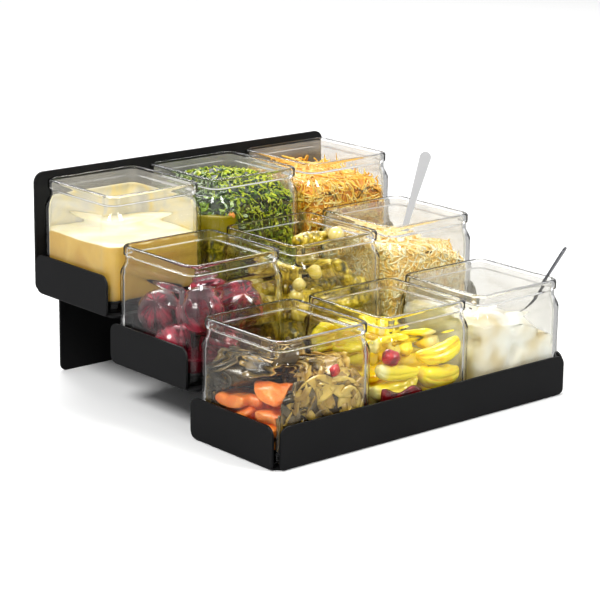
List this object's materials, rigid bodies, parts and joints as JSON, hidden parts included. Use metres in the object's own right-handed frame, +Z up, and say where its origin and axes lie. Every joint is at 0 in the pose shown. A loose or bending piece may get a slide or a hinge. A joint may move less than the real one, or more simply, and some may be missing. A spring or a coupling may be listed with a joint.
{
  "type": "condiment station",
  "caption": "Stepped black metal stand with square glass jars of pickles, onions, cheese, herbs and sauces in rows, and teaspoons standing in the foods.",
  "frame": {"origin": "centre of the stand's footprint, on the table", "axes": "+X to the right along a row of jars, +Y from the front row to the back panel, +Z up"},
  "size_m": [0.321, 0.319, 0.184],
  "materials": {
    "black_coat": "matt fine texture black powder coat",
    "jar_glass": "clear pressed soda lime glass, fire polished",
    "orange_slice": "soft moist orange flesh",
    "pickle_strip": "wet translucent olive tan strips",
    "yellow_pepper": "wet waxy yellow skin",
    "red_radish": "wet red skin",
    "red_pepper": "wet dark red skin",
    "white_sauce": "thick smooth white cream",
    "red_onion": "shiny thin purple red skin",
    "onion_juice": "dark clear juice",
    "gherkin": "wet warty olive green skin",
    "pearl_onion": "wet pale skin",
    "grated_cheese": "dry crumbly shreds",
    "cream_sauce": "smooth pale yellow cream",
    "chopped_herb": "moist chopped leaves",
    "herb_oil": "clear olive oil",
    "crisp_string": "crisp fried golden strings",
    "spoon_steel": "polished stainless steel"
  },
  "bodies": {
    "root": {"front_tray": "black_coat", "middle_tray": "black_coat", "top_tray": "black_coat", "back_panel": "black_coat", "jar_front_left": "jar_glass", "jar_front_middle": "jar_glass", "jar_front_right": "jar_glass", "jar_middle_left": "jar_glass", "jar_middle_middle": "jar_glass", "jar_middle_right": "jar_glass", "jar_top_left": "jar_glass", "jar_top_middle": "jar_glass", "jar_top_right": "jar_glass", "orange_slices": "orange_slice", "pickled_strips": "pickle_strip", "yellow_peppers": "yellow_pepper", "radish": "red_radish", "red_pepper": "red_pepper", "white_sauce": "white_sauce", "red_onions": "red_onion", "onion_juice": "onion_juice", "gherkins": "gherkin", "pearl_onions": "pearl_onion", "grated_cheese": "grated_cheese", "cream_sauce": "cream_sauce", "chopped_herbs": "chopped_herb", "herb_oil": "herb_oil", "crisp_strings": "crisp_string", "sauce_spoon": "spoon_steel", "cheese_spoon": "spoon_steel"}
  },
  "joints": []
}
